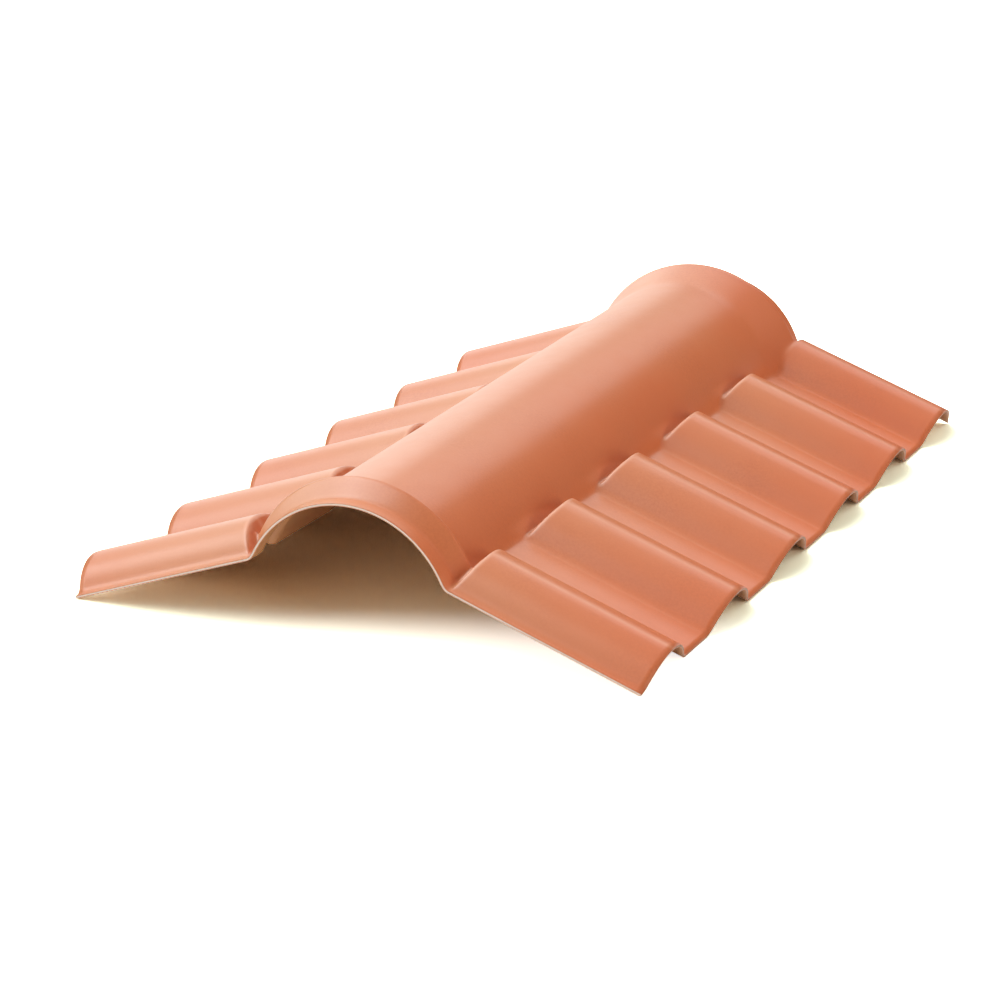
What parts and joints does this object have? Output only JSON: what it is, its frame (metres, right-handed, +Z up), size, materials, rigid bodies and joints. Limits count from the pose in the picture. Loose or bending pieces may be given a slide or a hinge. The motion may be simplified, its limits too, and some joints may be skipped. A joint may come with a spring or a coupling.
{
  "type": "roof ridge tile",
  "caption": "Ridge cap for pantile-profile roofing: a tapered half-round roll with a bead and a bell between two sloping corrugated wings.",
  "frame": {"origin": "on the floor under the middle of the tile, midway between the eaves and between the ends", "axes": "+Y along the ridge from the bead end to the bell end, +X across to the right wing, +Z up"},
  "size_m": [0.564, 0.9, 0.1614],
  "materials": {
    "clay_plastic": "satin terracotta skin with a paler cut edge"
  },
  "bodies": {
    "root": {"ridge_tile": "clay_plastic"}
  },
  "joints": []
}
